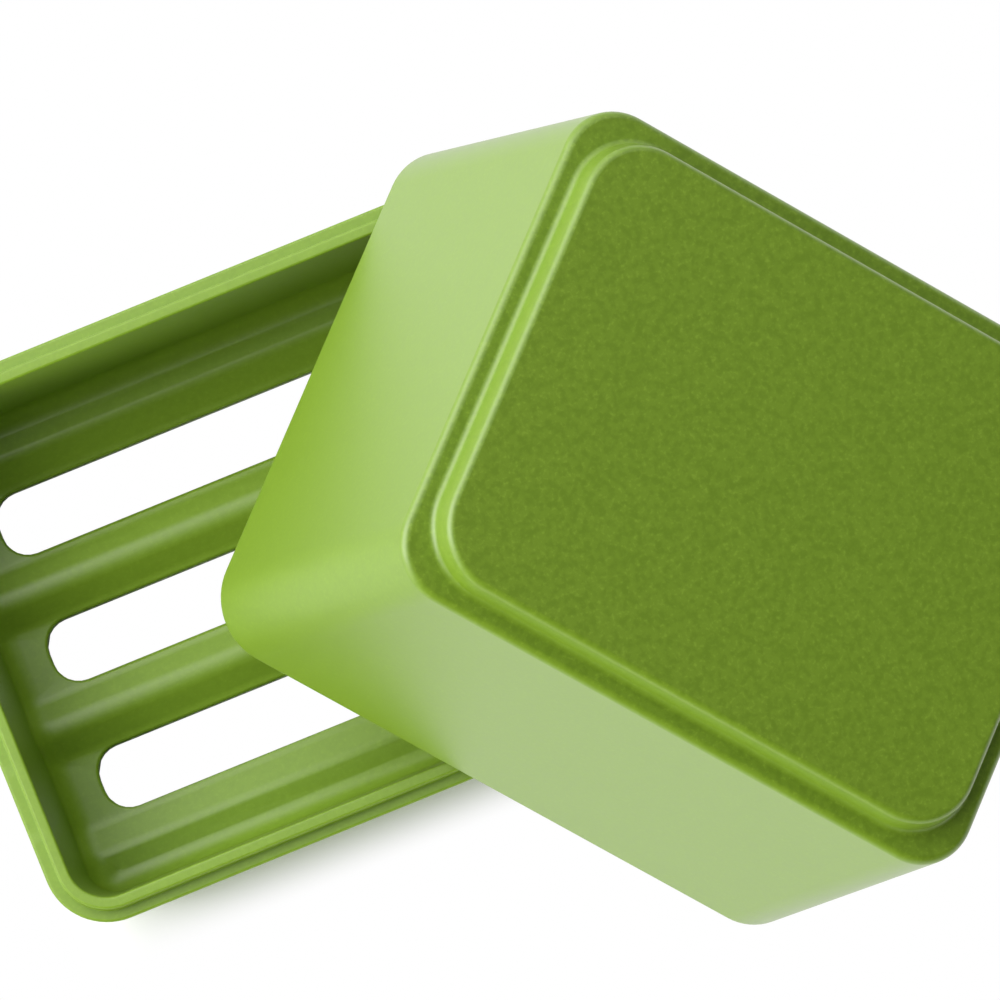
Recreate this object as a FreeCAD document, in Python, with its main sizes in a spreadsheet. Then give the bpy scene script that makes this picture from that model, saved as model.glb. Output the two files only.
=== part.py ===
import FreeCAD, Part
import Sketcher
import math
import os

# Travel soap box of two mouldings: a slotted tray, and a deep loose lid that lies tilted across the tray's rim.
# Lengths are in millimetres and angles in degrees. The tray is drawn standing on its foot and the lid with its
# mouth down. The lid's placement then lays it across the tray.

SIZES = {
    # Outline shared by the tray's ledge and the lid's mouth
    "box_length": 98.4,
    "box_width": 80.0,
    "corner_radius": 9.2,
    "edge_radius": 0.4,
    # Tray walls and rim
    "tray_height": 37.8,
    "inner_draft": 4.3,
    "outer_draft": 8.0,
    "lip_height": 2.0,
    "lip_thickness": 1.7,
    "ledge_width": 1.8,
    "foot_radius": 6.5,
    "foot_inner_radius": 3.0,
    # Tray floor: ridges with a drain slot in each valley between them, and a cove round the floor's edge
    "drain_height": 11.5,
    "floor_thickness": 2.6,
    "floor_bite": 0.9,
    "floor_corner_radius": 1.6,
    "cove_radius": 3.2,
    "ridge_height": 2.7,
    "crest_radius": 2.4,
    "gutter_width": 2.0,
    "slot_count": 3,
    "slot_pitch": 19.45,
    "slot_length": 75.1,
    "slot_width": 9.2,
    "slot_corner_radius": 3.8,
    "slot_edge_radius": 0.4,
    "valley_land": 0.5,
    # Lid
    "lid_height": 56.0,
    "lid_draft": 2.25,
    "lid_wall": 1.8,
    "lid_top": 2.2,
    "lid_top_radius": 8.5,
    "shoulder_width": 3.05,
    "shoulder_edge_radius": 1.2,
    "plateau_height": 3.7,
    "plateau_lean": 0.75,
    "plateau_radius": 10.0,
    "plateau_edge_radius": 1.1,
    "plateau_foot_radius": 1.0,
    "fit_clearance": 0.2,
    # How the lid lies: where its mouth crosses the far and the near lip, its turn, and its gap to what it leans on
    "far_rest": 31.2,
    "near_rest": 12.3,
    "lid_turn": 33.3,
    "seat_gap": 0.3,
}

# Levels and insets of the tray, as expressions in the sheet's names. An inset is measured from the box's outline.
LEDGE_LEVEL = "(Sizes.tray_height - Sizes.lip_height)"
CREST_LEVEL = "(Sizes.drain_height + Sizes.ridge_height)"
UNDERSIDE_LEVEL = "(Sizes.drain_height - Sizes.floor_thickness)"
RIM_WIDTH = "(Sizes.ledge_width + Sizes.lip_thickness)"
INNER_SLOPE = "tan(Sizes.inner_draft)"
FOOT_INSET = f"({LEDGE_LEVEL} * tan(Sizes.outer_draft))"
FOOT_INNER_INSET = f"({RIM_WIDTH} + Sizes.tray_height * {INNER_SLOPE})"
HALF_VALLEY = "(Sizes.slot_width / 2 + Sizes.valley_land)"
RIDGE_SLOPE = f"(Sizes.ridge_height / (Sizes.slot_pitch / 2 - {HALF_VALLEY}))"
GUTTER_LEVEL = f"({CREST_LEVEL} - Sizes.gutter_width * {RIDGE_SLOPE})"
COVE_LEVEL = f"({GUTTER_LEVEL} + Sizes.cove_radius * (1 - sin(Sizes.inner_draft)))"
COVE_INSET = f"({RIM_WIDTH} + (Sizes.tray_height - {COVE_LEVEL}) * {INNER_SLOPE})"
GUTTER_INSET = f"({COVE_INSET} + Sizes.cove_radius * cos(Sizes.inner_draft))"
FLOOR_INSET = f"({COVE_INSET} - Sizes.floor_bite)"
GUTTER = f"(Sizes.box_width / 2 - {GUTTER_INSET})"
OUTER_CREST = f"({GUTTER} - Sizes.gutter_width)"

# Levels and insets of the lid, above its mouth and inside the same outline
LID_SLOPE = "tan(Sizes.lid_draft)"
SHOULDER_INSET = f"(Sizes.lid_height * {LID_SLOPE})"
CEILING_LEVEL = "(Sizes.lid_height - Sizes.lid_top)"
CEILING_INSET = f"(Sizes.lid_wall + {CEILING_LEVEL} * {LID_SLOPE})"
PLATEAU_LEVEL = "(Sizes.lid_height + Sizes.plateau_height)"
PLATEAU_FOOT_INSET = f"({SHOULDER_INSET} + Sizes.shoulder_width)"
PLATEAU_TOP_INSET = f"({PLATEAU_FOOT_INSET} + Sizes.plateau_lean)"
MOUTH_WALL = "(Sizes.ledge_width - Sizes.fit_clearance)"


def make_sheet(doc):
    """Put every driving size into the sheet under its own name."""
    sheet = doc.addObject("Spreadsheet::Sheet", "Sizes")
    for row, (name, value) in enumerate(SIZES.items(), start=1):
        sheet.set(f"A{row}", name)
        sheet.set(f"B{row}", str(value))
        sheet.setAlias(f"B{row}", name)
    doc.recompute()
    return sheet


def value_of(item, expression):
    """The number that an expression in the sheet's names comes to."""
    return float(item.evalExpression(expression))


def origin_part(body, role):
    """The body's own origin plane or axis with this role."""
    for feature in body.Origin.OriginFeatures:
        if feature.Role == role:
            return feature
    raise ValueError(f"{body.Name} has no origin part {role}")


def new_sketch(body, name, role):
    """An empty sketch on one of the body's origin planes."""
    sketch = body.newObject("Sketcher::SketchObject", name)
    sketch.AttachmentSupport = (origin_part(body, role), [""])
    sketch.MapMode = "FlatFace"
    return sketch


def bind(sketch, name, kind, places, expression):
    """Add one dimension to a sketch and tie it to an expression."""
    number = value_of(sketch, expression)
    index = sketch.addConstraint(Sketcher.Constraint(kind, *places, number))
    sketch.renameConstraint(index, name)
    sketch.setExpression(f"Constraints.{name}", expression)


def rounded_outline(body, name, level, inset, radius):
    """A rounded rectangle at a level, as far inside the box's outline as the inset says."""
    length = f"Sizes.box_length - 2 * {inset}"
    width = f"Sizes.box_width - 2 * {inset}"
    sketch = rounded_rectangle(body, name, length, width, radius)
    sketch.setExpression("AttachmentOffset.Base.z", level)
    return sketch


def rounded_rectangle(body, name, length, width, radius):
    """A rectangle with rounded corners about the body's upright axis."""
    sketch = new_sketch(body, name, "XY_Plane")
    right = value_of(body, length) / 2
    back = value_of(body, width) / 2
    round_radius = value_of(body, radius)
    corners = [
        FreeCAD.Vector(right, -back),
        FreeCAD.Vector(right, back),
        FreeCAD.Vector(-right, back),
        FreeCAD.Vector(-right, -back),
    ]
    runs = [(corners[side] - corners[side - 1]).normalize() * round_radius for side in range(4)]
    for side in range(4):
        sketch.addGeometry(Part.LineSegment(corners[side - 1] + runs[side], corners[side] - runs[side]))
    for side in range(4):
        centre = corners[side] - runs[side] + runs[(side + 1) % 4]
        start = math.radians(90 * (side - 1))
        circle = Part.Circle(centre, FreeCAD.Vector(0, 0, 1), round_radius)
        sketch.addGeometry(Part.ArcOfCircle(circle, start, start + math.pi / 2))
    rules = []
    for side in range(4):
        arc = side + 4
        rules.append(Sketcher.Constraint("Horizontal" if side % 2 == 0 else "Vertical", side))
        rules.append(Sketcher.Constraint("Tangent", side, 2, arc, 1))
        rules.append(Sketcher.Constraint("Tangent", arc, 2, (side + 1) % 4, 1))
    for arc in (5, 6, 7):
        rules.append(Sketcher.Constraint("Equal", 4, arc))
    rules.append(Sketcher.Constraint("Symmetric", 0, 1, 2, 1, -1, 1))
    sketch.addConstraint(rules)
    bind(sketch, "length", "DistanceX", (3, 1, 1, 1), length)
    bind(sketch, "width", "DistanceY", (0, 1, 2, 1), width)
    bind(sketch, "radius", "Radius", (4,), radius)
    return sketch


def slot_outline(body, name):
    """One long slot with rounded corners, in the valley nearest the front."""
    sketch = rounded_rectangle(body, name, "Sizes.slot_length", "Sizes.slot_width", "Sizes.slot_corner_radius")
    sketch.setExpression("AttachmentOffset.Base.y", "-Sizes.slot_pitch * (Sizes.slot_count - 1) / 2")
    return sketch


def floor_section(body, name):
    """Section across the floor: flat below, ridges and valleys above, the same on both sides of the middle."""
    sketch = new_sketch(body, name, "YZ_Plane")
    side = f"(Sizes.box_width / 2 - {FLOOR_INSET})"
    half_section = [(side, UNDERSIDE_LEVEL), (side, GUTTER_LEVEL), (GUTTER, GUTTER_LEVEL), (OUTER_CREST, CREST_LEVEL)]
    slots = int(value_of(body, "Sizes.slot_count"))
    for step in range(slots // 2, 0, -1):
        half_section.append((f"{step} * Sizes.slot_pitch + {HALF_VALLEY}", "Sizes.drain_height"))
        half_section.append((f"{step} * Sizes.slot_pitch - {HALF_VALLEY}", "Sizes.drain_height"))
        half_section.append((f"({step} - 1 / 2) * Sizes.slot_pitch", CREST_LEVEL))
    half_section.append((HALF_VALLEY, "Sizes.drain_height"))
    places = [(value_of(body, across), value_of(body, up)) for across, up in half_section]
    points = [FreeCAD.Vector(across, up) for across, up in places]
    points += [FreeCAD.Vector(-across, up) for across, up in reversed(places)]
    count = len(points)
    for index in range(count):
        sketch.addGeometry(Part.LineSegment(points[index], points[(index + 1) % count]))
    rules = [Sketcher.Constraint("Coincident", index, 2, (index + 1) % count, 1) for index in range(count)]
    for index in range(len(half_section)):
        rules.append(Sketcher.Constraint("Symmetric", index, 1, count - 1 - index, 1, -2))
    sketch.addConstraint(rules)
    for index, (across, up) in enumerate(half_section):
        bind(sketch, f"across{index}", "DistanceX", (-1, 1, index, 1), across)
        bind(sketch, f"up{index}", "DistanceY", (-1, 1, index, 1), up)
    return sketch


def loft(body, name, kind, lower, upper):
    """A straight-sided loft between two outlines, added or cut away."""
    feature = body.newObject(f"PartDesign::{kind}Loft", name)
    feature.Profile = lower
    feature.Sections = [upper]
    feature.Ruled = True
    return feature


def outline_edges(body, level, inset):
    """Names of the body's edges that lie on the box's outline at a level, moved in by an inset."""
    body.Document.recompute()
    height = value_of(body, level)
    right = value_of(body, f"Sizes.box_length / 2 - {inset}")
    back = value_of(body, f"Sizes.box_width / 2 - {inset}")
    close = value_of(body, "Sizes.edge_radius / 20")
    names = []
    for index, edge in enumerate(body.Tip.Shape.Edges, start=1):
        points = [vertex.Point for vertex in edge.Vertexes]
        level_with = all(abs(point.z - height) < close for point in points)
        beside = all(min(abs(abs(point.x) - right), abs(abs(point.y) - back)) < close for point in points)
        if level_with and beside:
            names.append(f"Edge{index}")
    return names


def crest_edges(body):
    """Names of the edges along the ridges' crests."""
    body.Document.recompute()
    height = value_of(body, CREST_LEVEL)
    close = value_of(body, "Sizes.edge_radius / 20")
    short = value_of(body, "Sizes.box_length / 2")
    names = []
    for index, edge in enumerate(body.Tip.Shape.Edges, start=1):
        level_with = all(abs(vertex.Point.z - height) < close for vertex in edge.Vertexes)
        if level_with and edge.Length > short:
            names.append(f"Edge{index}")
    return names


def slot_edges(body):
    """Names of the upper edges of the drain slots."""
    body.Document.recompute()
    height = value_of(body, "Sizes.drain_height")
    close = value_of(body, "Sizes.edge_radius / 20")
    end = value_of(body, "Sizes.slot_length / 2") + close
    pitch = value_of(body, "Sizes.slot_pitch")
    half = value_of(body, "Sizes.slot_width / 2") + close
    names = []
    for index, edge in enumerate(body.Tip.Shape.Edges, start=1):
        points = [vertex.Point for vertex in edge.Vertexes]
        level_with = all(abs(point.z - height) < close and abs(point.x) < end for point in points)
        in_slot = all(abs(point.y - pitch * round(point.y / pitch)) < half for point in points)
        if level_with and in_slot:
            names.append(f"Edge{index}")
    return names


def round_off(body, name, edges, radius):
    """A fillet on named edges of the body's last feature."""
    if not edges:
        raise ValueError(f"{name} found no edges")
    base = body.Tip
    fillet = body.newObject("PartDesign::Fillet", name)
    fillet.Base = (base, edges)
    fillet.setExpression("Radius", radius)
    body.Tip = fillet


def make_tray(doc):
    """The tray: drafted walls on a foot, a ledge and lip round the rim, and a ridged floor with drain slots."""
    body = doc.addObject("PartDesign::Body", "slotted_tray")
    body.Label = "slotted_tray"
    foot = rounded_outline(body, "foot_outline", "0", FOOT_INSET, "Sizes.foot_radius")
    ledge = rounded_outline(body, "ledge_outline", LEDGE_LEVEL, "0", "Sizes.corner_radius")
    loft(body, "wall_block", "Additive", foot, ledge)

    lip_radius = "Sizes.corner_radius - Sizes.ledge_width"
    lip_outline = rounded_outline(body, "lip_outline", LEDGE_LEVEL, "Sizes.ledge_width", lip_radius)
    lip = body.newObject("PartDesign::Pad", "lip")
    lip.Profile = lip_outline
    lip.setExpression("Length", "Sizes.lip_height")

    inner_radius = f"Sizes.corner_radius - {RIM_WIDTH}"
    inner_foot = rounded_outline(body, "inner_foot_outline", "0", FOOT_INNER_INSET, "Sizes.foot_inner_radius")
    inner_lip = rounded_outline(body, "inner_lip_outline", "Sizes.tray_height", RIM_WIDTH, inner_radius)
    loft(body, "wall_inside", "Subtractive", inner_foot, inner_lip)

    block = body.newObject("PartDesign::Pad", "floor_block")
    block.Profile = rounded_outline(body, "floor_outline", UNDERSIDE_LEVEL, FLOOR_INSET, inner_radius)
    block.setExpression("Length", f"{COVE_LEVEL} - {UNDERSIDE_LEVEL}")
    cove_foot = rounded_outline(
        body, "cove_foot_outline", "Sizes.drain_height", GUTTER_INSET, "Sizes.floor_corner_radius"
    )
    cove_top = rounded_outline(body, "cove_top_outline", COVE_LEVEL, COVE_INSET, "Sizes.foot_inner_radius")
    loft(body, "cove", "Subtractive", cove_foot, cove_top)

    floor = body.newObject("PartDesign::Pad", "ridged_floor")
    floor.Profile = floor_section(body, "floor_section")
    floor.Midplane = True
    floor.setExpression("Length", f"Sizes.box_length - 2 * {FLOOR_INSET}")
    body.Tip = floor
    doc.recompute()
    solid_floor_volume = floor.Shape.Volume

    slot = body.newObject("PartDesign::Pocket", "drain_slot")
    slot.Profile = slot_outline(body, "slot_outline")
    slot.Type = "ThroughAll"
    slot.Reversed = True
    slots = body.newObject("PartDesign::LinearPattern", "drain_slots")
    slots.Originals = [slot]
    slots.Direction = (origin_part(body, "Y_Axis"), [""])
    slots.setExpression("Length", "Sizes.slot_pitch * (Sizes.slot_count - 1)")
    slots.setExpression("Occurrences", "Sizes.slot_count")
    body.Tip = slots
    doc.recompute()
    if slots.Shape.Volume >= solid_floor_volume:
        raise ValueError("the drain slots cut nothing")

    round_off(body, "crest_rounds", crest_edges(body), "Sizes.crest_radius")
    round_off(body, "slot_rounds", slot_edges(body), "Sizes.slot_edge_radius")
    rim_edges = outline_edges(body, "Sizes.tray_height", "Sizes.ledge_width")
    rim_edges += outline_edges(body, "Sizes.tray_height", RIM_WIDTH)
    rim_edges += outline_edges(body, LEDGE_LEVEL, "0")
    round_off(body, "rim_rounds", rim_edges, "Sizes.edge_radius")
    doc.recompute()
    return body


def make_lid(doc):
    """The lid: drafted walls, a shoulder and a raised plateau, hollow, with a step in its mouth for the tray's lip."""
    body = doc.addObject("PartDesign::Body", "lid")
    body.Label = "lid"
    mouth = rounded_outline(body, "mouth_outline", "0", "0", "Sizes.corner_radius")
    shoulder = rounded_outline(
        body, "shoulder_outline", "Sizes.lid_height", SHOULDER_INSET, "Sizes.lid_top_radius"
    )
    loft(body, "wall_block", "Additive", mouth, shoulder)

    plateau_top_radius = "Sizes.plateau_radius - Sizes.plateau_lean"
    plateau_foot = rounded_outline(
        body, "plateau_foot_outline", "Sizes.lid_height", PLATEAU_FOOT_INSET, "Sizes.plateau_radius"
    )
    plateau_top = rounded_outline(
        body, "plateau_top_outline", PLATEAU_LEVEL, PLATEAU_TOP_INSET, plateau_top_radius
    )
    loft(body, "plateau", "Additive", plateau_foot, plateau_top)

    inner_mouth = rounded_outline(
        body, "inner_mouth_outline", "0", "Sizes.lid_wall", "Sizes.corner_radius - Sizes.lid_wall"
    )
    ceiling = rounded_outline(
        body, "ceiling_outline", CEILING_LEVEL, CEILING_INSET, "Sizes.lid_top_radius - Sizes.lid_wall"
    )
    loft(body, "hollow", "Subtractive", inner_mouth, ceiling)

    recess_inset = f"({PLATEAU_FOOT_INSET} + Sizes.lid_top)"
    recess_foot = rounded_outline(
        body, "recess_foot_outline", CEILING_LEVEL, recess_inset, "Sizes.plateau_radius - Sizes.lid_top"
    )
    recess_top = rounded_outline(
        body,
        "recess_top_outline",
        f"({CEILING_LEVEL} + Sizes.plateau_height)",
        f"({recess_inset} + Sizes.plateau_lean)",
        f"{plateau_top_radius} - Sizes.lid_top",
    )
    loft(body, "plateau_recess", "Subtractive", recess_foot, recess_top)

    doc.recompute()
    plain_volume = body.Tip.Shape.Volume
    step = body.newObject("PartDesign::Pocket", "mouth_step")
    step.Profile = rounded_outline(
        body, "step_outline", "0", MOUTH_WALL, f"Sizes.corner_radius - {MOUTH_WALL}"
    )
    step.setExpression("Length", "Sizes.lip_height + Sizes.fit_clearance")
    step.Reversed = True
    body.Tip = step
    doc.recompute()
    if step.Shape.Volume >= plain_volume:
        raise ValueError("the step in the lid's mouth cuts nothing")

    plateau_foot_edges = outline_edges(body, "Sizes.lid_height", PLATEAU_FOOT_INSET)
    round_off(body, "plateau_foot_rounds", plateau_foot_edges, "Sizes.plateau_foot_radius")
    plateau_edges = outline_edges(body, PLATEAU_LEVEL, PLATEAU_TOP_INSET)
    round_off(body, "plateau_edge_rounds", plateau_edges, "Sizes.plateau_edge_radius")
    shoulder_edges = outline_edges(body, "Sizes.lid_height", SHOULDER_INSET)
    round_off(body, "shoulder_edge_rounds", shoulder_edges, "Sizes.shoulder_edge_radius")
    mouth_edges = outline_edges(body, "0", "0")
    round_off(body, "mouth_edge_rounds", mouth_edges, "Sizes.edge_radius")
    doc.recompute()
    return body


def lid_placement(sheet):
    """How the lid lies: its mouth rests on the far and the near lip, and its low corner just clears the ground."""
    wall = value_of(sheet, MOUTH_WALL)
    half_length = sheet.box_length / 2
    half_width = sheet.box_width / 2
    rest_level = sheet.tray_height + sheet.seat_gap
    lip_edge = half_width - sheet.ledge_width
    far = FreeCAD.Vector(sheet.far_rest, lip_edge, rest_level)
    near = FreeCAD.Vector(sheet.near_rest, -lip_edge, rest_level)
    span = far.distanceToPoint(near)
    turn_cos = math.cos(math.radians(sheet.lid_turn))
    turn_sin = math.sin(math.radians(sheet.lid_turn))

    # Within the mouth's plane, the way from the line between the two rests to the lowest point of the low corner
    reach_length = half_length - wall + half_length - sheet.corner_radius
    reach_width = half_width - wall + half_width - sheet.corner_radius
    reach = reach_length * turn_cos + reach_width * turn_sin + sheet.corner_radius - span * turn_sin * turn_cos
    tilt = math.asin((rest_level - sheet.seat_gap) / reach)

    along = (near - far).normalize()
    outward = FreeCAD.Vector(-along.y, along.x, 0)
    downhill = outward * math.cos(tilt) - FreeCAD.Vector(0, 0, 1) * math.sin(tilt)
    front = along * turn_cos - downhill * turn_sin
    right = along * turn_sin + downhill * turn_cos
    inner_corner = far + front * (span * turn_cos)
    centre = inner_corner + right * (half_length - wall) - front * (half_width - wall)
    back = front * -1
    up = right.cross(back)
    axes = FreeCAD.Matrix(
        right.x, back.x, up.x, centre.x,
        right.y, back.y, up.y, centre.y,
        right.z, back.z, up.z, centre.z,
        0, 0, 0, 1,
    )
    return FreeCAD.Placement(axes)


def stand_on_origin(bodies):
    """Move all bodies alike, so that the middle of their common box's bottom is the origin."""
    box = FreeCAD.BoundBox()
    for body in bodies:
        box.add(body.Shape.optimalBoundingBox(False))
    shift = FreeCAD.Vector(-box.Center.x, -box.Center.y, -box.ZMin)
    for body in bodies:
        body.Placement = FreeCAD.Placement(body.Placement.Base + shift, body.Placement.Rotation)


def check(doc, bodies):
    """Stop if any object failed to build or any body has no sound solid."""
    for item in doc.Objects:
        if {"Invalid", "Error"} & set(item.State):
            raise ValueError(f"{item.Label} failed: {item.State}")
    for body in bodies:
        if body.Shape.isNull() or not body.Shape.isValid() or len(body.Shape.Solids) != 1:
            raise ValueError(f"{body.Label} is not one sound solid")


def main():
    doc = FreeCAD.newDocument("travel_soap_box")
    sheet = make_sheet(doc)
    tray = make_tray(doc)
    lid = make_lid(doc)
    lid.Placement = lid_placement(sheet)
    doc.recompute()
    stand_on_origin([tray, lid])
    doc.recompute()
    check(doc, [tray, lid])
    os.makedirs("parts", exist_ok=True)
    for body in (tray, lid):
        body.Shape.exportStep(f"parts/{body.Label}.step")
        print(body.Label, round(body.Shape.Volume), body.Placement)


main()
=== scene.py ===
import math

import bmesh
import bpy
from bpy.props import FloatProperty, FloatVectorProperty, IntProperty, PointerProperty
from bpy.types import Operator, Panel, PropertyGroup
from mathutils import Euler, Matrix, Vector
from mathutils.geometry import delaunay_2d_cdt


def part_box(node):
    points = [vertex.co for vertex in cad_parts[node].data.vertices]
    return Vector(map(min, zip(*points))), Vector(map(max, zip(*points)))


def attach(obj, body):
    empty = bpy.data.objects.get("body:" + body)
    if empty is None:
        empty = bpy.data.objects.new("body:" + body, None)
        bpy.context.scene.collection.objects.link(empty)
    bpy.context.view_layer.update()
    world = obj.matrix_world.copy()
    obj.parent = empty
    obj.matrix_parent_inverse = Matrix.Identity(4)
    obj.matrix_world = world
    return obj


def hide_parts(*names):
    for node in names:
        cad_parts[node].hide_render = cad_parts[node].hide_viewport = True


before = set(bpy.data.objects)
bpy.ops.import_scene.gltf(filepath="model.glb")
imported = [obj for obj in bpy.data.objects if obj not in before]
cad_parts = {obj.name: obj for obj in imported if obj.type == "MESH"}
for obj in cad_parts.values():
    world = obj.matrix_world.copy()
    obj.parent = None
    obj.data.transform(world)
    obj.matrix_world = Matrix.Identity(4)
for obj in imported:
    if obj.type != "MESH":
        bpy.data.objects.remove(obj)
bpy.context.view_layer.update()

bl_info = {
    "name": "Travel Soap Box",
    "version": (1, 0, 0),
    "blender": (4, 5, 0),
    "location": "3D View > Sidebar > Soap Box",
    "description": "Models the slotted tray and the loose lid of a travel soap box in flecked satin plastic",
    "category": "Add Mesh",
}

MM = 0.001
WHITE = (1.0, 1.0, 1.0, 1.0)

# Smallest corner radius of a ring, distances at which points merge, and angle from which an edge is crisp.
SMALLEST_RADIUS = MM / 100
FILL_TOLERANCE = MM / 1000
WELD_DISTANCE = MM / 500
CRISP_ANGLE = math.radians(26)

# Places of extra points along the lid's long and short sides, as shares of half a side.
LID_LONG_SHARES = (-0.6, -0.3, 0, 0.3, 0.6)
LID_SHORT_SHARES = (-0.5, -0.25, 0, 0.25, 0.5)

# Noise levels at which a pale fleck and the dark mottling begin and are full.
PALE_LEVELS = (0.5, 0.75)
DARK_LEVELS = (0.6, 0.35)

# How squarely a face has to look to the lid's top before its fibre begins to show and shows fully.
TOP_FACING = (0.75, 0.98)

# Reach of the shadow on the floor, outward from the tray's outline: from full shadow to clear floor.
NEAR_SHADOW = (-3.6 * MM, 4.6 * MM)
SIDE_SHADOW = (-3.6 * MM, 1 * MM)
UNDER_SLOTS = (-6 * MM, -9 * MM)
GLOSS_SHADOW = (-4 * MM, 0)


def length(name, description, millimetres):
    """A size that a user can set, given in millimetres and kept in metres."""
    metres = millimetres * MM
    return FloatProperty(name=name, description=description, default=metres, unit="LENGTH", precision=5)


def angle(name, description, degrees):
    """An angle that a user can set, given in degrees."""
    return FloatProperty(name=name, description=description, default=math.radians(degrees), subtype="ANGLE")


def number(name, description, default):
    """A plain number that a user can set."""
    return FloatProperty(name=name, description=description, default=default, precision=4)


def count(name, description, default):
    """A whole number that a user can set."""
    return IntProperty(name=name, description=description, default=default, min=1)


def colour(name, description, default):
    """A colour that a user can set, in linear light."""
    return FloatVectorProperty(name=name, description=description, default=default, size=3, subtype="COLOR")


def place(name, description, millimetres):
    """A point that a user can set, given in millimetres and kept in metres."""
    metres = [value * MM for value in millimetres]
    return FloatVectorProperty(name=name, description=description, default=metres, subtype="TRANSLATION")


class OutlineSizes(PropertyGroup):
    """Outline that the tray's ledge and the lid's mouth share."""

    length: length("Length", "Length of the ledge and of the lid's mouth", 98.4)
    width: length("Width", "Width of the ledge and of the lid's mouth", 80.0)
    corner_radius: length("Corner radius", "Radius of the outline's corners", 9.2)
    edge_round: length("Edge round", "Rounding of the small moulded edges", 0.4)
    corner_steps: count("Corner steps", "Facets round one corner", 16)
    round_steps: count("Round steps", "Facets across one rounded edge", 6)


class TraySizes(PropertyGroup):
    """The tray's walls, rim and ridged floor."""

    height: length("Height", "From the table to the top of the lip", 37.8)
    draft: angle("Draft", "Slope of the walls' inside from upright", 4.3)
    outer_draft: angle("Outer draft", "Slope of the walls' outside from upright", 8.0)
    lip_height: length("Lip height", "Lip above the ledge", 2.0)
    lip_thickness: length("Lip thickness", "Lip across its top", 1.7)
    ledge_width: length("Ledge width", "Ledge outside the lip", 1.8)
    foot_radius: length("Foot radius", "Outer corner radius at the foot", 6.5)
    foot_inner_radius: length("Inner foot radius", "Inner corner radius at the foot", 3.0)
    drain_height: length("Drain height", "Valleys of the floor above the table", 11.5)
    floor_thickness: length("Floor thickness", "Floor in its valleys", 2.6)
    floor_corner: length("Floor corner", "Corner radius of the floor's outline", 1.6)
    cove_radius: length("Cove radius", "Hollow rounding between the floor and the walls", 3.2)
    ridge_height: length("Ridge height", "Ridge crests above the valleys, before rounding", 2.7)
    crest_round: length("Crest round", "Rounding of the ridge crests", 3.4)
    gutter_width: length("Gutter width", "From the outer crest to the wall's cove", 2.0)
    gutter_round: length("Gutter round", "Rounding at the bottom of the gutter", 2.0)
    slot_count: count("Slot count", "Drain slots", 3)
    slot_pitch: length("Slot pitch", "From the middle of one slot to the next", 19.45)
    slot_length: length("Slot length", "Length of a drain slot", 75.1)
    slot_width: length("Slot width", "Width of a drain slot", 9.2)
    slot_corner: length("Slot corner", "Corner radius of the slots' outline", 3.8)
    slot_round: length("Slot round", "Rounding of the slots' edges", 0.5)
    valley_land: length("Valley land", "Flat beside a slot before the ridge rises", 0.5)
    valley_round: length("Valley round", "Rounding where the ridge rises from the valley", 4.0)


class LidSizes(PropertyGroup):
    """The lid's walls, shoulder and plateau."""

    height: length("Height", "From the mouth to the shoulder", 56.0)
    draft: angle("Draft", "Slope of the walls from upright", 2.25)
    wall: length("Wall", "Thickness of the walls", 1.8)
    top: length("Top", "Thickness of the shoulder and plateau", 2.2)
    top_radius: length("Top radius", "Corner radius at the shoulder", 8.5)
    shoulder_width: length("Shoulder width", "Shoulder round the plateau", 3.05)
    shoulder_round: length("Shoulder round", "Rounding of the shoulder's outer edge", 1.2)
    plateau_height: length("Plateau height", "Plateau above the shoulder", 3.7)
    plateau_lean: length("Plateau lean", "How far the plateau's side leans in", 0.75)
    plateau_radius: length("Plateau radius", "Corner radius at the plateau's foot", 10.0)
    plateau_round: length("Plateau round", "Rounding of the plateau's edge", 1.1)
    plateau_foot_round: length("Plateau foot round", "Rounding of the plateau's foot", 1.0)
    fit_clearance: length("Fit clearance", "Play between the mouth and the tray's lip", 0.2)
    far_rest: length("Far rest", "Where the mouth crosses the far lip, from the tray's middle", 31.2)
    near_rest: length("Near rest", "Where the mouth crosses the near lip, from the tray's middle", 12.3)
    turn: angle("Turn", "Turn of the lid across the line between both rests", 33.3)
    seat_gap: length("Seat gap", "Gap between the lid and what it leans on", 0.3)


class PlasticLook(PropertyGroup):
    """Colours and grain of the flecked satin plastic."""

    body_colour: colour("Body colour", "Main colour of the plastic", (0.159, 0.268, 0.015))
    light_fleck: colour("Light fleck", "Colour of the pale fibres", (0.245, 0.378, 0.034))
    dark_fleck: colour("Dark fleck", "Colour of the dark fibres", (0.094, 0.176, 0.005))
    mottle_size: length("Mottle size", "Width of the soft mottling", 1.1)
    fleck_size: length("Fleck size", "Spacing of the fibre flecks", 0.5)
    pale_share: number("Pale share", "Strength of the pale flecks", 0.54)
    dark_share: number("Dark share", "Strength of the dark mottling", 0.42)
    drawn_fibre: number("Drawn fibre", "Share of the fibre that shows on walls and in the tray", 0.35)
    grain_depth: length("Grain depth", "Depth of the fine grain", 0.1)
    grain_strength: number("Grain strength", "How strongly the fine grain shows", 0.05)
    roughness: number("Roughness", "Middle roughness of the satin surface", 0.42)
    roughness_spread: number("Roughness spread", "How far the mottling changes the roughness", 0.1)
    refraction: number("Refraction", "Refractive index, which sets how strong the gloss is", 1.52)
    lid_skin: number("Lid skin", "Share of the smoother skin on the lid", 0.6)
    skin_roughness: number("Skin roughness", "Roughness of the smoother skin", 0.3)


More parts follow.
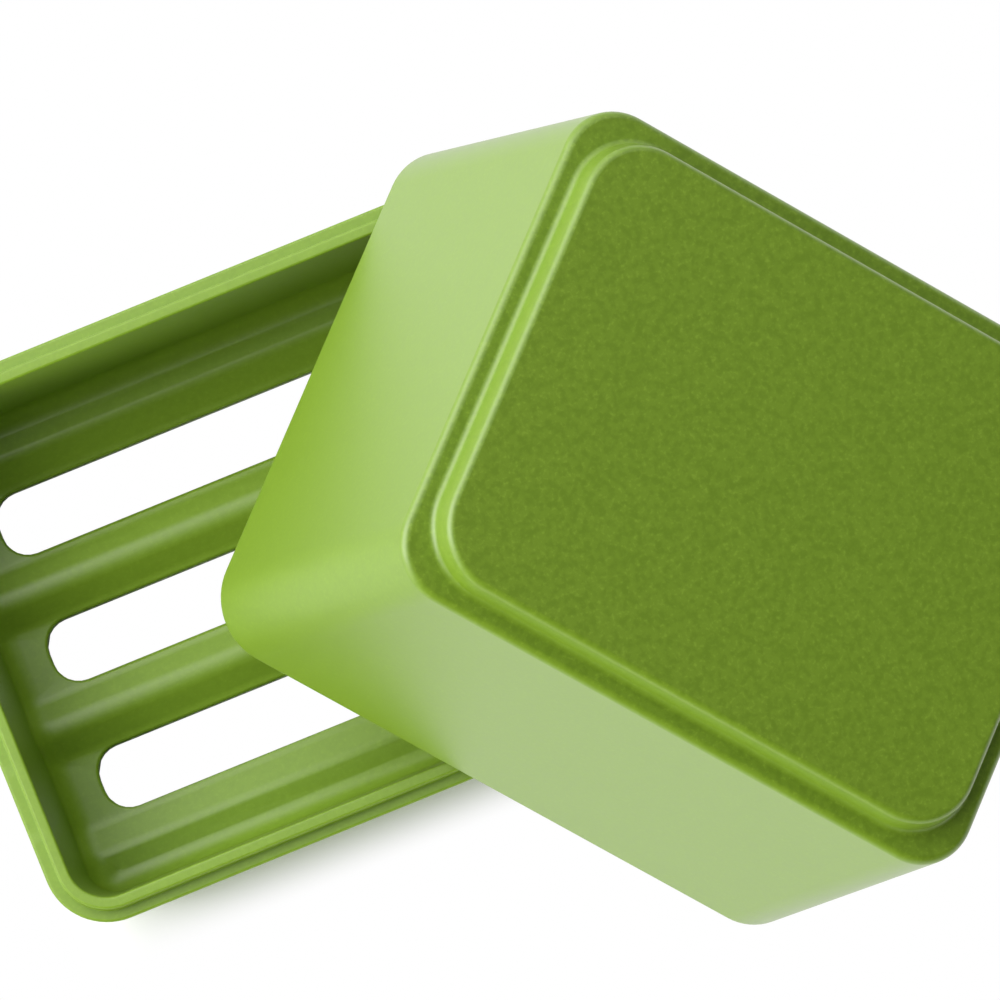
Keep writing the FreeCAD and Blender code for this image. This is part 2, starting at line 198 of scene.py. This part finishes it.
class StudioLook(PropertyGroup):
    """Camera, floor and lamps."""

    camera_place: place("Camera place", "Where the camera stands", (-6.575, -142.033, 2001.11))
    camera_turn: FloatVectorProperty(
        name="Camera turn",
        description="How the camera is turned",
        default=(math.radians(4.1748), math.radians(1.5796), math.radians(-22.0568)),
        subtype="EULER",
    )
    camera_lens: number("Camera lens", "Focal length in millimetres on a 36 mm sensor", 504.0)
    floor_size: length("Floor size", "Width of the floor", 6000.0)
    floor_colour: colour("Floor colour", "Colour of the floor where it shows its shadow", (0.9, 0.9, 0.9))
    world_strength: number("World strength", "Soft light from all round", 0.01)
    lamp_aim: length("Lamp aim", "Height above the floor that the lamps shine at", 40.0)
    lamp_distance: length("Lamp distance", "From the soap box to each lamp", 1200.0)
    lamp_size: length("Lamp size", "Width of the large lamps", 1200.0)
    low_lamp_size: length("Low lamp size", "Width of the low lamps", 450.0)
    key_power: number("Key power", "Power of the lamp at the far left, in watts", 10.3)
    high_power: number("High power", "Power of the lamp high up at the far left, in watts", 11.5)
    left_power: number("Left power", "Power of the lamp at the left, in watts", 8.2)
    far_power: number("Far power", "Power of the lamp at the far side, in watts", 6.0)
    near_left_power: number("Near left power", "Power of the low lamp at the near left, in watts", 5.8)
    near_power: number("Near power", "Power of the low lamp at the near side, in watts", 4.6)
    far_right_power: number("Far right power", "Power of the lamp at the far right, in watts", 3.5)


class RoundedFrame:
    """Stations round a rounded rectangle, at its corners and at chosen places along its sides."""

    def __init__(self, half_x, half_y, steps, along=(), across=(), middle=0.0):
        self.half_x = half_x
        self.half_y = half_y
        self.middle = middle
        right = [((1, 0, 0), (0, 0, y)) for y in across]
        back = [((0, 0, x), (1, 0, 0)) for x in reversed(along)]
        left = [((-1, 0, 0), (0, 0, y)) for y in reversed(across)]
        front = [((0, 0, x), (-1, 0, 0)) for x in along]
        corners = ((1, -1, right), (1, 1, back), (-1, 1, left), (-1, -1, front))
        self.stations = []
        for quarter, (side_x, side_y, following) in enumerate(corners):
            for step in range(steps + 1):
                turn = math.pi / 2 * (quarter - 1 + step / steps)
                along_x = (side_x, math.cos(turn) - side_x, 0)
                along_y = (side_y, math.sin(turn) - side_y, 0)
                self.stations.append((along_x, along_y))
            self.stations += following

    def point(self, station, inset, height, radius):
        """Where a station lies on an outline. Places along a side stay between the side's corner arcs."""
        (out_x, round_x, x), (out_y, round_y, y) = station
        straight_x = self.half_x - inset - radius
        straight_y = self.half_y - inset - radius
        x = min(max(x, -straight_x), straight_x) + out_x * (self.half_x - inset) + round_x * radius
        y = min(max(y, -straight_y), straight_y) + out_y * (self.half_y - inset) + round_y * radius
        return Vector((x, self.middle + y, height))

    def ring(self, inset, height, radius):
        """Points round the outline that an inset and a corner radius give."""
        radius = max(radius, SMALLEST_RADIUS)
        return [self.point(station, inset, height, radius) for station in self.stations]


def rounded_corner(before, corner, after, radius, steps):
    """Points on the arc that rounds off one corner of a flat line, or the corner itself."""
    if radius <= 0:
        return [corner]
    back = (before - corner).normalized()
    forth = (after - corner).normalized()
    opening = back.angle(forth)
    reach = radius / math.tan(opening / 2)
    centre = corner + (back + forth).normalized() * (radius / math.sin(opening / 2))
    start = corner + back * reach - centre
    sweep = math.pi - opening
    if back.x * forth.y - back.y * forth.x > 0:
        sweep = -sweep
    turns = [sweep * step / steps for step in range(steps + 1)]
    return [centre + Matrix.Rotation(turn, 2) @ start for turn in turns]


def section_rings(walls, keys, steps):
    """Rings through a wall's section. A key is (inset, height, corner radius, edge rounding)."""
    flat = [Vector((inset, height)) for inset, height, _, _ in keys]
    rings = []
    for index, (inset, height, radius, rounding) in enumerate(keys):
        if index in (0, len(keys) - 1):
            rings.append(walls.ring(inset, height, radius))
            continue
        for point in rounded_corner(flat[index - 1], flat[index], flat[index + 1], rounding, steps):
            rings.append(walls.ring(point.x, point.y, radius - (point.x - inset)))
    return rings


def skin_rings(mesh, rings, capped):
    """Faces between rings that follow one another, with a flat cap at both ends if asked."""
    loops = [[mesh.verts.new(point) for point in ring] for ring in rings]
    for first, second in zip(loops, loops[1:]):
        for index in range(len(first)):
            after = (index + 1) % len(first)
            mesh.faces.new((first[index], first[after], second[after], second[index]))
    if capped:
        mesh.faces.new(list(reversed(loops[0])))
        mesh.faces.new(loops[-1])


def fill_between(mesh, rim, folds, holes, level_at, inside_hole):
    """Faces over the region inside a rim and outside its holes, folded along lines from rim to rim."""
    points = []
    edges = [tuple(fold) for fold in folds]
    for loop in (rim, *holes):
        first = len(points)
        points += [point.to_2d() for point in loop]
        edges += [(first + index, first + (index + 1) % len(loop)) for index in range(len(loop))]
    flat, _, triangles, *_ = delaunay_2d_cdt(points, edges, [], 1, FILL_TOLERANCE)
    corners = [mesh.verts.new((point.x, point.y, level_at(point.x, point.y))) for point in flat]
    for triangle in triangles:
        middle = (flat[triangle[0]] + flat[triangle[1]] + flat[triangle[2]]) / 3
        if not inside_hole(middle.x, middle.y):
            mesh.faces.new([corners[index] for index in triangle])


def finish_piece(mesh, name, placement):
    """Turn a built mesh into an object with crisp moulded edges, at its place."""
    bmesh.ops.remove_doubles(mesh, verts=mesh.verts, dist=WELD_DISTANCE)
    bmesh.ops.recalc_face_normals(mesh, faces=mesh.faces)
    bmesh.ops.transform(mesh, matrix=placement, verts=mesh.verts)
    data = bpy.data.meshes.new(name)
    mesh.to_mesh(data)
    mesh.free()
    data.polygons.foreach_set("use_smooth", [True] * len(data.polygons))
    data.set_sharp_from_angle(angle=CRISP_ANGLE)
    piece = bpy.data.objects.new(name, data)
    bpy.context.scene.collection.objects.link(piece)
    weighted = piece.modifiers.new("flat faces stay flat", "WEIGHTED_NORMAL")
    weighted.keep_sharp = True
    return piece


def tray_middle():
    """The point on the table under the middle of the tray."""
    low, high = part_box("slotted_tray")
    return Vector(((low.x + high.x) / 2, (low.y + high.y) / 2, low.z))


def lid_place(outline, tray, lid):
    """How the lid lies: its mouth on the far and the near lip, its low corner just clear of the table."""
    wall = tray.ledge_width - lid.fit_clearance
    half_length = outline.length / 2
    half_width = outline.width / 2
    level = tray.height + lid.seat_gap
    lip_edge = half_width - tray.ledge_width
    far = Vector((lid.far_rest, lip_edge, level))
    near = Vector((lid.near_rest, -lip_edge, level))
    span = (near - far).length
    turn_cos = math.cos(lid.turn)
    turn_sin = math.sin(lid.turn)
    reach = (2 * half_length - wall - outline.corner_radius) * turn_cos
    reach += (2 * half_width - wall - outline.corner_radius) * turn_sin
    reach += outline.corner_radius - span * turn_sin * turn_cos
    tilt = math.asin(tray.height / reach)
    along = (near - far).normalized()
    outward = Vector((-along.y, along.x, 0))
    downhill = outward * math.cos(tilt) - Vector((0, 0, math.sin(tilt)))
    front = along * turn_cos - downhill * turn_sin
    right = along * turn_sin + downhill * turn_cos
    middle = far + front * (span * turn_cos) + right * (half_length - wall) - front * (half_width - wall)
    turned = Matrix((right, -front, right.cross(-front))).transposed().to_4x4()
    return Matrix.Translation(tray_middle() + middle) @ turned


def lid_keys(outline, tray, lid):
    """Section of the lid: from the plateau down the outside, round the mouth and up to the ceiling."""
    slope = math.tan(lid.draft)
    shoulder = lid.height * slope
    foot = shoulder + lid.shoulder_width
    crown = foot + lid.plateau_lean
    mouth = tray.ledge_width - lid.fit_clearance
    step = tray.lip_height + lid.fit_clearance
    ceiling = lid.height - lid.top
    edge = outline.edge_round
    crown_radius = lid.plateau_radius - lid.plateau_lean
    crown_level = lid.height + lid.plateau_height
    recess = foot + lid.top
    recess_radius = lid.plateau_radius - lid.top
    return [
        (crown + crown_radius, crown_level, 0, 0),
        (crown, crown_level, crown_radius, lid.plateau_round),
        (foot, lid.height, lid.plateau_radius, lid.plateau_foot_round),
        (shoulder, lid.height, lid.top_radius, lid.shoulder_round),
        (0, 0, outline.corner_radius, edge),
        (mouth, 0, outline.corner_radius - mouth, edge / 2),
        (mouth, step, outline.corner_radius - mouth, 0),
        (lid.wall + step * slope, step, outline.corner_radius - lid.wall, 0),
        (lid.wall + ceiling * slope, ceiling, lid.top_radius - lid.wall, edge),
        (recess, ceiling, recess_radius, edge),
        (recess + lid.plateau_lean, ceiling + lid.plateau_height, recess_radius - lid.plateau_lean, edge),
        (recess + recess_radius, ceiling + lid.plateau_height, 0, 0),
    ]


class TrayPlan:
    """Places on the tray, worked out from its sizes. Insets are measured from the outline."""

    def __init__(self, outline, tray):
        self.outline = outline
        self.tray = tray
        self.steps = outline.round_steps
        self.slope = math.tan(tray.draft)
        self.rim = tray.ledge_width + tray.lip_thickness
        self.rim_radius = outline.corner_radius - self.rim
        self.under_level = tray.drain_height - tray.floor_thickness
        self.half_slot = tray.slot_width / 2
        middle_slot = (tray.slot_count - 1) / 2
        self.slot_middles = [tray.slot_pitch * (slot - middle_slot) for slot in range(tray.slot_count)]
        crest_level = tray.drain_height + tray.ridge_height
        half_valley = self.half_slot + tray.valley_land
        ridge_slope = tray.ridge_height / (tray.slot_pitch / 2 - half_valley)
        self.gutter_level = crest_level - ridge_slope * tray.gutter_width
        self.foot_inset = self.cove_middle(self.gutter_level)
        gutter = outline.width / 2 - self.foot_inset
        keys = [(-outline.width / 2, self.gutter_level, 0), (-gutter, self.gutter_level, tray.gutter_round)]
        keys.append((-gutter + tray.gutter_width, crest_level, tray.crest_round))
        for slot, middle in enumerate(self.slot_middles):
            if slot > 0:
                keys.append((middle - tray.slot_pitch / 2, crest_level, tray.crest_round))
            keys.append((middle - half_valley, tray.drain_height, tray.valley_round))
            keys.append((middle + half_valley, tray.drain_height, tray.valley_round))
        keys.append((gutter - tray.gutter_width, crest_level, tray.crest_round))
        keys += [(gutter, self.gutter_level, tray.gutter_round), (outline.width / 2, self.gutter_level, 0)]
        flat = [Vector((across, up)) for across, up, _ in keys]
        self.section = [flat[0]]
        for index in range(1, len(keys) - 1):
            before, corner, after = flat[index - 1:index + 2]
            self.section += rounded_corner(before, corner, after, keys[index][2], self.steps)
        self.section.append(flat[-1])

        straight = gutter - tray.floor_corner - outline.edge_round / 2
        across = [point.x for point in self.section if abs(point.x) < straight]
        straight_x = outline.length / 2 - self.foot_inset - tray.floor_corner - outline.edge_round / 2
        along = [straight_x * (step / self.steps - 1) for step in range(2 * self.steps + 1)]
        half_x = outline.length / 2
        half_y = outline.width / 2
        self.frame = RoundedFrame(half_x, half_y, outline.corner_steps, along, across)
        self.folds = self.folds_between(across, len(along))

    def folds_between(self, across, along_count):
        """Pairs of stations, right and left, that a fold of the floor joins."""
        corner = self.outline.corner_steps + 1
        last_left = 3 * corner + along_count + 2 * len(across) - 1
        folds = []
        for index, y in enumerate(across):
            if all(abs(y - middle) > self.half_slot for middle in self.slot_middles):
                folds.append((corner + index, last_left - index))
        return folds

    def wall_inset(self, level):
        """How far the inner wall has come in at a level."""
        return self.rim + (self.tray.height - level) * self.slope

    def cove_middle(self, floor_level):
        """Inset of the cove's middle, above the place where it runs out into the floor."""
        radius = self.tray.cove_radius
        start = floor_level + radius * (1 - math.sin(self.tray.draft))
        return self.wall_inset(start) + radius * math.cos(self.tray.draft)

    def floor_level(self, y):
        """Height of the ridged floor across the tray."""
        for front, back in zip(self.section, self.section[1:]):
            if y <= back.x:
                return front.y + (back.y - front.y) * (y - front.x) / (back.x - front.x)
        return self.gutter_level

    def slot_reach(self, x, y):
        """How far a point lies outside the nearest slot's outline, and less than 0 inside it."""
        tray = self.tray
        reaches = []
        for middle in self.slot_middles:
            over_x = abs(x) - (tray.slot_length / 2 - tray.slot_corner)
            over_y = abs(y - middle) - (self.half_slot - tray.slot_corner)
            outside = math.hypot(max(over_x, 0), max(over_y, 0))
            reaches.append(outside + min(max(over_x, over_y), 0) - tray.slot_corner)
        return min(reaches)

    def top_level(self, x, y):
        """Height of the floor's upper side, with the slots' edges rounded over."""
        radius = self.tray.slot_round
        short = min(max(radius - self.slot_reach(x, y), 0), radius)
        return self.floor_level(y) - radius + math.sqrt(radius * radius - short * short)

    def inside_slot(self, x, y):
        """Whether a point lies in a slot."""
        return self.slot_reach(x, y) < 0

    def wall_keys(self):
        """Wall section: under the floor, round the foot, up outside, over ledge and lip and down inside."""
        tray, outline = self.tray, self.outline
        ledge_level = tray.height - tray.lip_height
        lip_radius = outline.corner_radius - tray.ledge_width
        edge = outline.edge_round
        half_way = tray.height - (tray.height - tray.drain_height) / 3
        return [
            (self.wall_inset(self.under_level), self.under_level, tray.foot_inner_radius, 0),
            (self.wall_inset(0), 0, tray.foot_inner_radius, edge),
            (ledge_level * math.tan(tray.outer_draft), 0, tray.foot_radius, edge),
            (0, ledge_level, outline.corner_radius, edge),
            (tray.ledge_width, ledge_level, lip_radius, edge / 2),
            (tray.ledge_width, tray.height, lip_radius, edge),
            (self.rim, tray.height, self.rim_radius, edge),
            (self.wall_inset(half_way), half_way, self.radius_at(self.wall_inset(half_way)), 0),
        ]

    def radius_at(self, inset):
        """Corner radius of the inner wall at an inset, shrinking towards the floor."""
        share = (inset - self.rim) / (self.foot_inset - self.rim)
        return self.rim_radius + (self.tray.floor_corner - self.rim_radius) * share

    def cove_rings(self):
        """Rings down the hollow rounding between the walls and the ridged floor."""
        tray = self.tray
        steps = 2 * self.steps
        floor_places = self.frame.ring(self.foot_inset, 0, tray.floor_corner)
        rings = []
        for step in range(steps + 1):
            turn = tray.draft + (math.pi / 2 - tray.draft) * step / steps
            ring = []
            for station, foot in zip(self.frame.stations, floor_places):
                level = self.floor_level(foot.y)
                inset = self.cove_middle(level) - tray.cove_radius * math.cos(turn)
                height = level + tray.cove_radius * (1 - math.sin(turn))
                ring.append(self.frame.point(station, inset, height, self.radius_at(inset)))
            rings.append(ring)
        return rings

    def slot_frames(self):
        """Outlines of the drain slots."""
        half_length = self.tray.slot_length / 2
        middles = self.slot_middles
        return [RoundedFrame(half_length, self.half_slot, self.steps, middle=middle) for middle in middles]

    def slot_arc(self):
        """Steps over a slot's rounded edge: how far outside the slot and how far below the edge's top."""
        turns = [math.pi / 2 * step / self.steps for step in range(self.steps + 1)]
        radius = self.tray.slot_round
        return [(radius * (1 - math.sin(turn)), radius * (1 - math.cos(turn))) for turn in turns]


def skin_tray(mesh, plan):
    """The whole tray as one closed skin: walls, cove, ridged floor, slots and underside."""
    tray = plan.tray
    wall_rings = section_rings(plan.frame, plan.wall_keys(), plan.steps) + plan.cove_rings()
    skin_rings(mesh, wall_rings, capped=False)
    top_holes = []
    under_holes = []
    arc = plan.slot_arc()
    for slot in plan.slot_frames():
        rings = [slot.ring(-out, 0, tray.slot_corner + out) for out, _ in arc]
        top_holes += rings
        edge = [Vector((point.x, point.y, plan.top_level(point.x, point.y))) for point in rings[-1]]
        below = []
        for out, down in reversed(arc):
            below.append(slot.ring(-out, plan.under_level + down, tray.slot_corner + out))
        skin_rings(mesh, [edge, *below], capped=False)
        under_holes.append(below[-1])
    fill_between(mesh, wall_rings[-1], plan.folds, top_holes, plan.top_level, plan.inside_slot)
    fill_between(mesh, wall_rings[0], [], under_holes, lambda x, y: plan.under_level, plan.inside_slot)


class Wire:
    """A node socket that takes part in sums: each operation on it adds a Math node."""

    def __init__(self, maker, socket):
        self.maker = maker
        self.socket = socket

    def join(self, operation, first, second=0.0):
        """The result of one operation on two values."""
        return self.maker.node("ShaderNodeMath", {"operation": operation}, {0: first, 1: second})[0]

    def __add__(self, other):
        return self.join("ADD", self, other)

    def __radd__(self, other):
        return self.join("ADD", other, self)

    def __sub__(self, other):
        return self.join("SUBTRACT", self, other)

    def __rsub__(self, other):
        return self.join("SUBTRACT", other, self)

    def __mul__(self, other):
        return self.join("MULTIPLY", self, other)

    def __rmul__(self, other):
        return self.join("MULTIPLY", other, self)

    def __abs__(self):
        return self.join("ABSOLUTE", self)

    def largest(self, other):
        """The larger of two values."""
        return self.join("MAXIMUM", self, other)

    def between(self, low, high):
        """0 at the low mark, 1 at the high one and a smooth rise between them."""
        sockets = {"Value": self, "From Min": low, "From Max": high}
        return self.maker.node("ShaderNodeMapRange", {"interpolation_type": "SMOOTHSTEP"}, sockets)[0]


class NodeMaker:
    """Adds nodes to one material's or world's tree."""

    def __init__(self, owner):
        owner.use_nodes = True
        self.tree = owner.node_tree
        self.tree.nodes.clear()

    def node(self, kind, settings, sockets):
        """A node of a kind with its settings, then the values or links of its sockets. Gives its outputs."""
        made = self.tree.nodes.new(kind)
        for name, value in settings.items():
            setattr(made, name, value)
        for key, value in sockets.items():
            if isinstance(value, Wire):
                self.tree.links.new(value.socket, made.inputs[key])
            else:
                made.inputs[key].default_value = value
        return [Wire(self, output) for output in made.outputs if output.enabled]

    def mix_colour(self, share, first, second):
        """One colour turning into another by a share from 0 to 1."""
        settings = {"data_type": "RGBA", "clamp_factor": True}
        return self.node("ShaderNodeMix", settings, {"Factor": share, 6: first, 7: second})[0]

    def noise(self, point, spacing, detail):
        """Soft noise about 0.5 whose lumps are a spacing wide."""
        sockets = {"Vector": point, "Scale": 1 / spacing, "Detail": detail, "Roughness": 0.5}
        return self.node("ShaderNodeTexNoise", {"normalize": True}, sockets)[0]


def rgba(value):
    """A colour as a socket takes it."""
    return (*value, 1.0)


def flecked_plastic(name, look, skin, top=None):
    """Satin plastic with plant fibre, which shows fully only on faces that look towards a given top."""
    material = bpy.data.materials.new(name)
    make = NodeMaker(material)
    _, normal, _, point, *_ = make.node("ShaderNodeTexCoord", {}, {})
    fibre = look.drawn_fibre
    if top:
        facing = make.node("ShaderNodeVectorMath", {"operation": "DOT_PRODUCT"}, {0: normal, 1: top})[0]
        fibre = fibre + facing.between(*TOP_FACING) * (1 - fibre)
    mottle = make.noise(point, look.mottle_size, 3.0)
    fleck = make.noise(point, look.fleck_size, 2.0)
    grain = make.noise(point, look.fleck_size / 2, 2.0)
    pale = fleck.between(*PALE_LEVELS) * (look.pale_share * fibre)
    dark = mottle.between(*DARK_LEVELS) * (look.dark_share * fibre)
    base = make.mix_colour(pale, rgba(look.body_colour), rgba(look.light_fleck))
    base = make.mix_colour(dark, base, rgba(look.dark_fleck))
    roughness = look.roughness + (mottle - 0.5) * look.roughness_spread
    grain_sockets = {"Strength": look.grain_strength, "Distance": look.grain_depth, "Height": grain}
    bump = make.node("ShaderNodeBump", {}, grain_sockets)[0]
    shader = make.node(
        "ShaderNodeBsdfPrincipled",
        {},
        {
            "Base Color": base,
            "Roughness": roughness,
            "Normal": bump,
            "IOR": look.refraction,
            "Coat Weight": skin,
            "Coat Roughness": look.skin_roughness,
        },
    )[0]
    make.node("ShaderNodeOutputMaterial", {}, {"Surface": shader})
    return material


def studio_floor(name, look, outline):
    """White floor that keeps the shadow close round the tray's foot and along its near side."""
    material = bpy.data.materials.new(name)
    make = NodeMaker(material)
    middle = tray_middle()
    spot = make.node("ShaderNodeTexCoord", {}, {})[3]
    x, y, _ = make.node("ShaderNodeSeparateXYZ", {}, {"Vector": spot})
    near = middle.y - outline.width / 2 - y
    aside = (abs(x - middle.x) - outline.length / 2).largest(y - middle.y - outline.width / 2)
    outside = near.largest(aside)
    clear = near.between(*NEAR_SHADOW).largest(aside.between(*SIDE_SHADOW))
    clear = clear + outside.between(*UNDER_SLOTS)
    diffuse = make.node("ShaderNodeBsdfDiffuse", {}, {"Color": rgba(look.floor_colour)})[0]
    white = make.node("ShaderNodeEmission", {}, {"Color": WHITE, "Strength": 1.0})[0]
    camera_ray, _, _, glossy_ray, _, _, transmission_ray, *_ = make.node("ShaderNodeLightPath", {}, {})
    shown = camera_ray * clear + glossy_ray * outside.between(*GLOSS_SHADOW) + transmission_ray
    surface = make.node("ShaderNodeMixShader", {}, {0: shown, 1: diffuse, 2: white})[0]
    make.node("ShaderNodeOutputMaterial", {}, {"Surface": surface})
    return material


class SOAPBOX_OT_tray(Operator):
    """Model the slotted tray in flecked plastic"""

    bl_idname = "soap_box.tray"
    bl_label = "Slotted Tray"

    def execute(self, context):
        scene = context.scene
        mesh = bmesh.new()
        skin_tray(mesh, TrayPlan(scene.soap_outline, scene.soap_tray))
        piece = finish_piece(mesh, "tray_moulding", Matrix.Translation(tray_middle()))
        piece.data.materials.append(flecked_plastic("tray plastic", scene.soap_plastic, 0.0))
        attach(piece, "tray")
        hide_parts("slotted_tray")
        return {"FINISHED"}


class SOAPBOX_OT_lid(Operator):
    """Model the loose lid in flecked plastic, lying across the tray"""

    bl_idname = "soap_box.lid"
    bl_label = "Loose Lid"

    def execute(self, context):
        scene = context.scene
        outline, tray, lid = scene.soap_outline, scene.soap_tray, scene.soap_lid
        half_x = outline.length / 2
        half_y = outline.width / 2
        along = [half_x * share for share in LID_LONG_SHARES]
        across = [half_y * share for share in LID_SHORT_SHARES]
        walls = RoundedFrame(half_x, half_y, outline.corner_steps, along, across)
        mesh = bmesh.new()
        skin_rings(mesh, section_rings(walls, lid_keys(outline, tray, lid), outline.round_steps), capped=True)
        lies = lid_place(outline, tray, lid)
        piece = finish_piece(mesh, "lid_moulding", lies)
        look = scene.soap_plastic
        piece.data.materials.append(flecked_plastic("lid plastic", look, look.lid_skin, lies.col[2].to_3d()))
        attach(piece, "lid")
        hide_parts("lid")
        return {"FINISHED"}


def lamp_way(azimuth, elevation):
    """Direction towards a lamp, from its azimuth and elevation in degrees."""
    way = Vector((1, 0, 0))
    way.rotate(Euler((0, math.radians(-elevation), math.radians(azimuth))))
    return way


def soft_lamp(name, look, way, size, power):
    """A square lamp that shines on the soap box from a direction."""
    data = bpy.data.lights.new(name, "AREA")
    data.shape = "SQUARE"
    data.size = size
    data.energy = power
    lamp = bpy.data.objects.new(name, data)
    bpy.context.scene.collection.objects.link(lamp)
    lamp.location = way * look.lamp_distance + Vector((0, 0, look.lamp_aim))
    lamp.rotation_euler = way.to_track_quat("Z", "Y").to_euler()
    return lamp


class SOAPBOX_OT_stage(Operator):
    """Set up the white floor, the soft lamps and the camera"""

    bl_idname = "soap_box.stage"
    bl_label = "Studio"

    def execute(self, context):
        scene = context.scene
        look = scene.soap_studio
        mesh = bmesh.new()
        bmesh.ops.create_grid(mesh, x_segments=1, y_segments=1, size=look.floor_size / 2)
        data = bpy.data.meshes.new("floor")
        mesh.to_mesh(data)
        mesh.free()
        floor = bpy.data.objects.new("floor", data)
        scene.collection.objects.link(floor)
        data.materials.append(studio_floor("white floor", look, scene.soap_outline))

        world = bpy.data.worlds.new("studio")
        scene.world = world
        make = NodeMaker(world)
        camera_ray = make.node("ShaderNodeLightPath", {}, {})[0]
        soft = make.node("ShaderNodeBackground", {}, {"Color": WHITE, "Strength": look.world_strength})[0]
        white = make.node("ShaderNodeBackground", {}, {"Color": WHITE, "Strength": 1.0})[0]
        shown = make.node("ShaderNodeMixShader", {}, {0: camera_ray, 1: soft, 2: white})[0]
        make.node("ShaderNodeOutputWorld", {}, {"Surface": shown})

        lamps = (
            ("key lamp", 135, 40, look.lamp_size, look.key_power),
            ("high lamp", 135, 60, look.lamp_size, look.high_power),
            ("left lamp", 180, 30, look.lamp_size, look.left_power),
            ("far lamp", 90, 30, look.lamp_size, look.far_power),
            ("far right lamp", 45, 40, look.lamp_size, look.far_right_power),
        )
        low_lamps = (
            ("near left lamp", 225, 10, look.low_lamp_size, look.near_left_power),
            ("near lamp", 270, 10, look.low_lamp_size, look.near_power),
        )
        for name, azimuth, elevation, size, power in lamps:
            soft_lamp(name, look, lamp_way(azimuth, elevation), size, power)
        for name, azimuth, elevation, size, power in low_lamps:
            lamp = soft_lamp(name, look, lamp_way(azimuth, elevation), size, power)
            lamp.visible_glossy = False

        camera_data = bpy.data.cameras.new("photo camera")
        camera_data.lens = look.camera_lens
        camera_data.sensor_width = 36.0
        camera = bpy.data.objects.new("photo camera", camera_data)
        camera.location = look.camera_place
        camera.rotation_euler = Euler(look.camera_turn)
        scene.collection.objects.link(camera)
        scene.camera = camera
        scene.view_settings.view_transform = "Standard"
        return {"FINISHED"}


class SOAPBOX_PT_panel(Panel):
    """Lists the pieces of the soap box and their sizes and colours"""

    bl_idname = "SOAPBOX_PT_panel"
    bl_label = "Travel Soap Box"
    bl_space_type = "VIEW_3D"
    bl_region_type = "UI"
    bl_category = "Soap Box"

    def draw(self, context):
        for operator in (SOAPBOX_OT_tray, SOAPBOX_OT_lid, SOAPBOX_OT_stage):
            self.layout.operator(operator.bl_idname)
        for name, group in SETTINGS.items():
            box = self.layout.box()
            box.label(text=group.__doc__)
            for setting in group.__annotations__:
                box.prop(getattr(context.scene, name), setting)


SETTINGS = {
    "soap_outline": OutlineSizes,
    "soap_tray": TraySizes,
    "soap_lid": LidSizes,
    "soap_plastic": PlasticLook,
    "soap_studio": StudioLook,
}
CLASSES = (*SETTINGS.values(), SOAPBOX_OT_tray, SOAPBOX_OT_lid, SOAPBOX_OT_stage, SOAPBOX_PT_panel)


def register():
    """Add the classes and the scene's settings."""
    for item in CLASSES:
        bpy.utils.register_class(item)
    for name, group in SETTINGS.items():
        setattr(bpy.types.Scene, name, PointerProperty(type=group))


def unregister():
    """Take the settings and the classes away again."""
    for name in SETTINGS:
        delattr(bpy.types.Scene, name)
    for item in reversed(CLASSES):
        bpy.utils.unregister_class(item)


def main():
    """Model the soap box and its stage."""
    register()
    bpy.ops.soap_box.tray()
    bpy.ops.soap_box.lid()
    bpy.ops.soap_box.stage()


if __name__ == "__main__":
    main()
